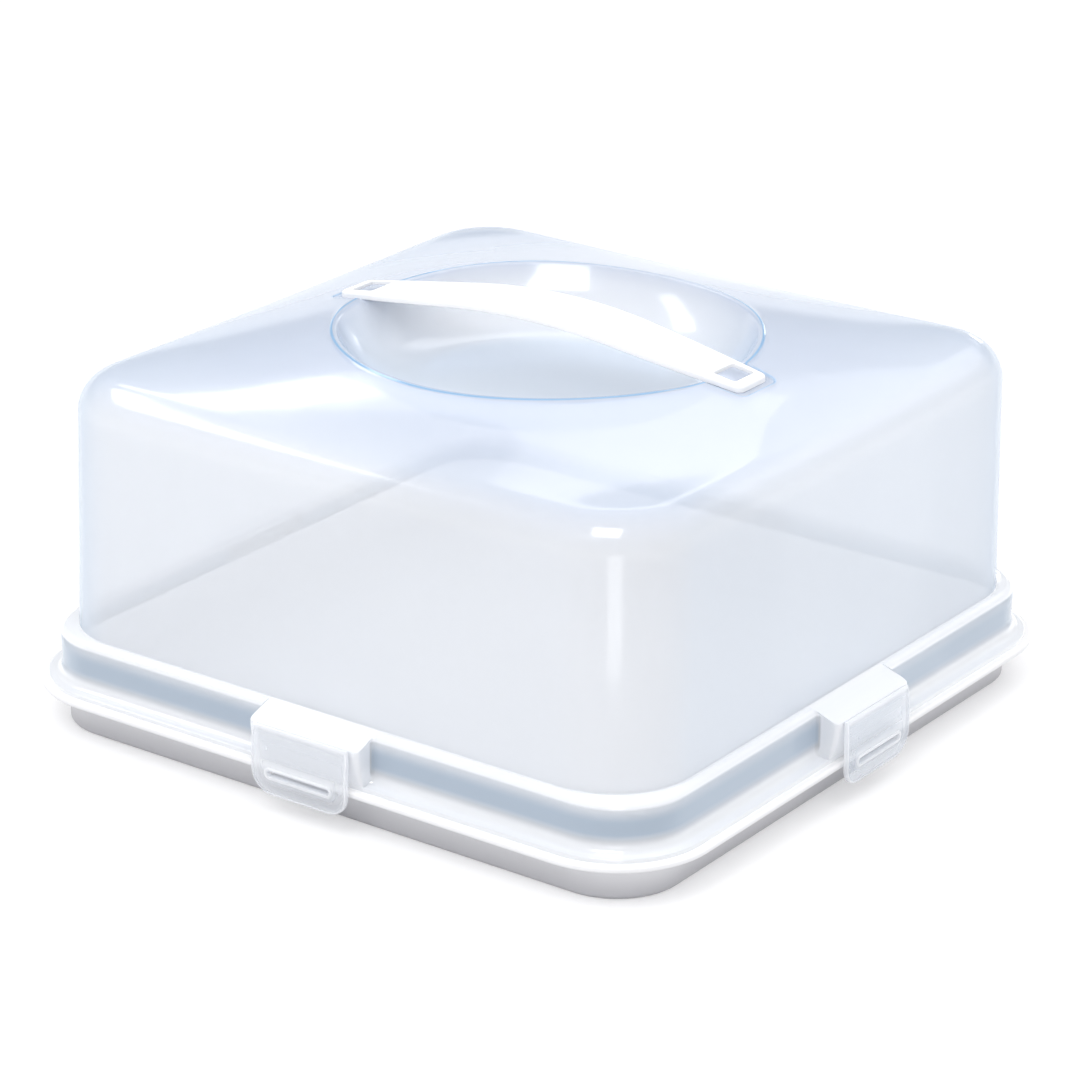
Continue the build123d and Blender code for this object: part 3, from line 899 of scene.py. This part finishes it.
class LatchShape:
    """A latch on the right-hand side: the flap with its slot, the catch and the gate mark."""

    def __init__(self, size):
        self.size = size
        self.top = size.hinge_height + size.thickness / 2

    def front(self, height):
        """How far out the flap's bowed front lies at a height."""
        s = self.size
        middle, half = (s.hinge_height + s.bottom) / 2, (s.hinge_height - s.bottom) / 2
        share = min(abs(height - middle) / half, 1.0)
        return s.hinge_out + s.thickness / 2 + s.bow * (1 - share * share)

    def slot_ring(self, grow, lift):
        """A ring round the slot, this much wider and prouder than the flap's front."""
        s = self.size
        half, high = s.slot_length / 2 + grow, s.slot_width / 2 + grow
        line = rounded(half, s.slot_height - high, s.slot_height + high, 0.97 * high, 0.97 * high)
        return [Vector((self.front(h) + lift, a, h)) for a, h in line]

    def outline(self, inset):
        """The flap's outline, drawn in by this much."""
        s = self.size
        low, high = s.bottom + inset, self.top - inset
        top_radius = max(0.5 * MM - inset, 0.05 * MM)
        return rounded(s.width / 2 - inset, low, high, s.corner - inset, top_radius)

    def edge_ring(self, turn, at_back):
        """A ring on the flap's rounded edge, which is fully round along the hinge."""
        s = self.size
        plain = s.back_edge if at_back else s.front_edge
        full = s.thickness / 2
        ring = []
        for low, high in zip(self.outline(plain * (1 - sin(turn))), self.outline(full * (1 - sin(turn)))):
            share = eased((low[1] - s.hinge_height + full) / full)
            across, height = between(low[0], high[0], share), between(low[1], high[1], share)
            depth = between(plain, full, share) * (1 - cos(turn))
            out = self.front(height) - depth
            if at_back:
                out = self.front(height) - s.thickness + depth
            ring.append(Vector((out, across, height)))
        return ring

    def over(self, first, second, share, lift):
        """A ring part of the way between two, laid on the flap's front or back."""
        ring = [a.lerp(b, share) for a, b in zip(first, second)]
        return [Vector((self.front(p.z) + lift, p.y, p.z)) for p in ring]

    def flap(self):
        """The rings of the flap, from the slot over its border and the front, round to the back."""
        s = self.size
        rise, wide, curl = s.border_rise, s.border, 0.2 * MM
        bends = [(curl * (1 - cos(turn)), curl * (1 - sin(turn))) for turn in quarter(3)]
        rings = [self.slot_ring(first, rise - second) for first, second in bends]
        rings += [self.slot_ring(wide - second, rise - first) for first, second in bends]
        rings += [self.slot_ring(wide + 0.03 * MM, 0.05 * MM), self.slot_ring(wide + 0.2 * MM, 0.0)]
        border, front = rings[-1], self.edge_ring(0.0, False)
        rings += [self.over(border, front, share, 0.0) for share in (0.2, 0.4, 0.6, 0.8, 0.93)]
        rings += [self.edge_ring(turn, False) for turn in quarter(5)]
        rings += [self.edge_ring(turn, True) for turn in quarter(3)[::-1]]
        back, hole = rings[-1], self.slot_ring(0.0, -s.thickness)
        rings += [self.over(back, hole, share, -s.thickness) for share in (0.25, 0.5, 0.75)]
        # Each ring's share of painted highlight: the slot's border and the flap's edges are painted pale
        border_highlight, front_highlight = [1.0] * 8 + [0.9, 0.35], [0.08, 0.0, 0.0, 0.0, 0.15]
        edge_highlight, back_highlight = [0.9] + [1.0] * 9, [0.2, 0.0, 0.0, 0.5]
        return rings + [hole], border_highlight + front_highlight + edge_highlight + back_highlight

    def catch(self):
        """The rings of the catch, a wedge on the flap's back that hooks under the rim."""
        s = self.size
        sunk = s.thickness - 0.1 * MM
        rings = []
        for across, inset in ((-1.0, 0.25), (-0.985, 0.0), (0.985, 0.0), (1.0, 0.25)):
            small = inset * MM
            line = (
                (self.front(s.catch_top) - sunk, s.catch_top - small),
                (s.catch_reach + 0.2 * MM, s.catch_top - small),
                (s.catch_reach + small, s.catch_top - 0.2 * MM),
                (s.catch_reach + small, s.catch_top - s.catch_tip),
                (self.front(s.catch_top - s.catch_root) - sunk, s.catch_top - s.catch_root + small),
            )
            rings.append([Vector((out, across * s.catch_length / 2, height)) for out, height in line])
        return rings

    def gate_mark(self):
        """The rings of the small round mark that moulding leaves on the flap's front."""
        s = self.size
        height = s.hinge_height - s.mark_drop
        turns = [step * pi / 8 for step in range(16)]
        levels = ((1.0, -0.05 * MM), (1.0, 0.6 * s.mark_rise), (0.8, 0.9 * s.mark_rise), (0.4, s.mark_rise))
        rings = []
        for share, lift in levels:
            radius = share * s.mark_radius
            places = [(radius * cos(t) - s.mark_across, height + radius * sin(t)) for t in turns]
            rings.append([Vector((self.front(height) + lift, across, up)) for across, up in places])
        return rings


def packed(name):
    """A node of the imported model, by its name."""
    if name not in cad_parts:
        raise RuntimeError(f"The packed model has no node named {name}")
    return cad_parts[name]


def paint(name, material):
    """Gives a CAD node its finish."""
    slots = packed(name).data.materials
    slots.clear()
    slots.append(material)


def fit(piece, material, body, node):
    """Finishes a new piece, lets it ride on its body and puts it in its node's place."""
    packed(node)
    piece.data.materials.append(material)
    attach(piece, body)
    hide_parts(node)


def make_cover(scene):
    """The clear cover with its dish, pockets, studs, skirt, flange and latch bays."""
    bm = bmesh.new()
    skin(bm, rings_of(scene.cake_cover, scene.cake_strap))
    add_studs(bm, scene.cake_strap, scene.cake_studs)
    cover = shaded_mesh("cover_shell", bm)
    clear = clear_plastic("clear_cover", scene.cake_colours, whole_cover=True)
    fit(cover, clear, "lid", "cover")


def make_latches(scene):
    """One clear latch at the middle of each side."""
    shape = LatchShape(scene.cake_latches)
    clear = clear_plastic("clear_latch", scene.cake_colours)
    for turn, side in enumerate(SIDES):
        bm = bmesh.new()
        rings, painted_highlight = shape.flap()
        skin(bm, rings, closed=True, painted_highlight=painted_highlight)
        skin(bm, shape.catch())
        skin(bm, shape.gate_mark())
        bmesh.ops.rotate(bm, cent=(0, 0, 0), matrix=Matrix.Rotation(turn * pi / 2, 3, "Z"), verts=bm.verts)
        latch = shaded_mesh(f"latch_{side}_flap", bm)
        fit(latch, clear, f"latch_{side}", f"latch_{side}")


def look_from(azimuth, elevation, distance, aim, roll=0.0, shift=(0.0, 0.0)):
    """A place that looks at the axis of the box at a height, from an azimuth and elevation."""
    back = Vector((sin(azimuth) * cos(elevation), -cos(azimuth) * cos(elevation), sin(elevation)))
    right = Vector((cos(azimuth), sin(azimuth), 0.0))
    up = back.cross(right)
    level = right * cos(roll) + up * sin(roll)
    upright = up * cos(roll) - right * sin(roll)
    placed = Matrix((level, upright, back)).transposed().to_4x4()
    placed.translation = Vector((0.0, 0.0, aim)) + back * distance + right * shift[0] + up * shift[1]
    return placed


def add_softbox(name, azimuth, elevation, distance, wide, high, watts, only_gloss=False):
    """A rectangular lamp that faces the box."""
    lamp = bpy.data.objects.new(name, bpy.data.lights.new(name, "AREA"))
    lamp.data.shape = "RECTANGLE"
    lamp.data.size, lamp.data.size_y = wide, high
    lamp.data.energy = watts
    lamp.matrix_world = look_from(radians(azimuth), radians(elevation), distance, LAMP_AIM)
    lamp.visible_camera = False
    lamp.visible_transmission = False
    lamp.visible_diffuse = not only_gloss
    lamp.visible_glossy = only_gloss
    bpy.context.scene.collection.objects.link(lamp)


def add_gloss(name, azimuth, elevation, distance, wide, high, brightness):
    """A softbox that shows only as a highlight, and is this much brighter than the white sky."""
    watts = brightness * wide * high * pi
    add_softbox(name, azimuth, elevation, distance, wide, high, watts, only_gloss=True)


def add_card(name, place, turn, wide, high, brightness):
    """A bright card that stands close to the box and shows only as a highlight in its walls."""
    add_softbox(name, 0.0, 0.0, 1.0, wide, high, brightness * wide * high * pi, only_gloss=True)
    card = bpy.data.objects[name]
    upright = Matrix.Rotation(turn, 4, "Z") @ Matrix.Rotation(pi / 2, 4, "X")
    card.matrix_world = Matrix.Translation(place) @ upright


def make_sky(studio):
    """White all round: full strength for what the camera sees, and less as light on the box."""
    sky = Finish("studio_sky", bpy.data.worlds.new("studio_sky"))
    bpy.context.scene.world = sky.owner
    camera = sky.node("ShaderNodeLightPath", {}, {}, output="Is Camera Ray")
    gloss, through = camera.beside("Is Glossy Ray"), camera.beside("Is Transmission Ray")
    way = sky.node("ShaderNodeTexCoord", {}, {}, output="Generated")
    height = sky.node("ShaderNodeSeparateXYZ", {}, {"Vector": way}, output="Z")
    seen = (camera + through).held()
    mirrored = 1 - 0.65 * sky.rise(height, 0.10, 0.17)
    soft = studio.sky * (0.90 + 0.27 * sky.rise(height, 0.0, 0.8))
    strength = seen + (1 - seen) * (gloss * mirrored + (1 - gloss) * soft)
    light = sky.node("ShaderNodeBackground", {}, {"Color": (1.0, 1.0, 1.0, 1.0), "Strength": strength})
    sky.end(light, "ShaderNodeOutputWorld")


def make_floor():
    """A plain white table top."""
    bpy.ops.mesh.primitive_plane_add(size=8.0)
    floor = bpy.context.object
    floor.name = "floor"
    finish = Finish("floor_white")
    tone = finish.mix(finish.noise(3.0), (0.64, 0.64, 0.65), (0.66, 0.66, 0.67))
    camera = finish.node("ShaderNodeLightPath", {}, {}, output="Is Camera Ray")
    seen = (camera + camera.beside("Is Glossy Ray") + camera.beside("Is Transmission Ray")).held()
    glow = finish.mix(seen, (0.0, 0.0, 0.0), (0.36, 0.36, 0.36))
    floor.data.materials.append(finish.principled({
        "Base Color": tone, "Roughness": 0.9, "Emission Color": glow, "Emission Strength": 1.0,
    }))


def make_stage(scene):
    """The camera, table top, sky and softboxes."""
    studio = scene.cake_studio
    camera = bpy.data.objects.new("camera", bpy.data.cameras.new("camera"))
    scene.collection.objects.link(camera)
    camera.data.sensor_width = 36.0
    camera.data.lens = studio.lens
    camera.data.clip_end = 20.0
    shift = (studio.shift_right, studio.shift_up)
    place = look_from(studio.azimuth, studio.elevation, studio.distance, studio.aim, studio.roll, shift)
    camera.matrix_world = place
    scene.camera = camera
    scene.view_settings.view_transform = "Standard"
    make_floor()
    make_sky(studio)

    # Azimuth and elevation in degrees, distance, width and height in metres, then watts or brightness
    add_softbox("key_softbox", -5.0, 50.0, 1.3, 0.9, 0.7, studio.key)
    add_softbox("side_softbox", 70.0, 60.0, 1.3, 0.8, 0.6, studio.side)
    add_softbox("fill_softbox", 150.0, 55.0, 1.3, 0.8, 0.6, studio.fill)
    add_softbox("low_softbox", 95.0, 3.0, 1.3, 0.8, 0.2, studio.low)
    add_gloss("gloss_front", -78.0, 46.9, 1.43, 0.95, 0.23, studio.gloss * 0.45)
    add_gloss("gloss_above", -146.0, 41.0, 1.5, 0.9, 0.25, studio.gloss * 0.12)
    add_gloss("gloss_beside", -121.0, 39.0, 1.3, 0.22, 0.14, studio.gloss * 0.3)
    add_gloss("gloss_dish", -167.0, 10.0, 1.3, 0.16, 0.12, studio.gloss * 0.25)
    add_gloss("gloss_window", 25.0, 59.0, 1.2, 0.5, 0.45, studio.gloss)
    add_gloss("gloss_behind", 171.0, 33.0, 1.3, 0.95, 0.27, studio.gloss * 0.05)

    # Cards have a place and a turn instead of a direction and distance
    add_card("card_right", (0.17, 0.062, 0.065), radians(90), 0.11, 0.13, studio.gloss * 0.015)
    add_card("card_front", (0.25, -0.30, 0.06), radians(36), 0.07, 0.16, studio.gloss * 0.2)


class CAKE_OT_cover(bpy.types.Operator):
    """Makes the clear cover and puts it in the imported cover's place"""

    bl_idname = "cake_box.cover"
    bl_label = "Make Cover"

    def execute(self, context):
        make_cover(context.scene)
        return {"FINISHED"}


class CAKE_OT_latches(bpy.types.Operator):
    """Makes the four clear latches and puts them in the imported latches' places"""

    bl_idname = "cake_box.latches"
    bl_label = "Make Latches"

    def execute(self, context):
        make_latches(context.scene)
        return {"FINISHED"}


class CAKE_OT_tray(bpy.types.Operator):
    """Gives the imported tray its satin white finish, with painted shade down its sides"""

    bl_idname = "cake_box.tray"
    bl_label = "Finish Tray"

    def execute(self, context):
        colours = context.scene.cake_colours
        side_shades = (colours.tray_edge_shade, colours.tray_foot_shade)
        paint("tray", white_plastic("tray_white", colours.tray, 0.35, side_shades))
        return {"FINISHED"}


class CAKE_OT_handle(bpy.types.Operator):
    """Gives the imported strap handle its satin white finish"""

    bl_idname = "cake_box.handle"
    bl_label = "Finish Handle"

    def execute(self, context):
        paint("handle", white_plastic("handle_white", context.scene.cake_colours.handle, 0.3))
        return {"FINISHED"}


class CAKE_OT_stage(bpy.types.Operator):
    """Sets up the camera, table top, sky and softboxes"""

    bl_idname = "cake_box.stage"
    bl_label = "Set Up Stage"

    def execute(self, context):
        make_stage(context.scene)
        return {"FINISHED"}


class CAKE_PT_panel(bpy.types.Panel):
    """Lists the steps and the sizes, colours and lights that they use"""

    bl_idname = "CAKE_PT_panel"
    bl_label = "Cake Box"
    bl_space_type = "VIEW_3D"
    bl_region_type = "UI"
    bl_category = "Cake Box"

    def draw(self, context):
        for step in OPERATORS:
            self.layout.operator(step.bl_idname)
        for name in GROUPS:
            group = getattr(context.scene, name)
            box = self.layout.box()
            for setting in group.bl_rna.properties:
                if not setting.is_readonly and setting.identifier != "name":
                    box.prop(group, setting.identifier)


GROUPS = {
    "cake_cover": CoverSizes,
    "cake_strap": StrapSizes,
    "cake_studs": StudSizes,
    "cake_latches": LatchSizes,
    "cake_colours": PlasticColours,
    "cake_studio": StudioSettings,
}
OPERATORS = (CAKE_OT_stage, CAKE_OT_cover, CAKE_OT_latches, CAKE_OT_tray, CAKE_OT_handle)


def register():
    """Registers the classes and gives the scene its settings."""
    for made in (*GROUPS.values(), *OPERATORS, CAKE_PT_panel):
        bpy.utils.register_class(made)
    for name, group in GROUPS.items():
        setattr(bpy.types.Scene, name, bpy.props.PointerProperty(type=group))


def unregister():
    """Takes back what register did."""
    for name in GROUPS:
        delattr(bpy.types.Scene, name)
    for made in reversed((*GROUPS.values(), *OPERATORS, CAKE_PT_panel)):
        bpy.utils.unregister_class(made)


def main():
    """Makes everything in order."""
    register()
    bpy.ops.cake_box.stage()
    bpy.ops.cake_box.cover()
    bpy.ops.cake_box.latches()
    bpy.ops.cake_box.tray()
    bpy.ops.cake_box.handle()


if __name__ == "__main__":
    main()
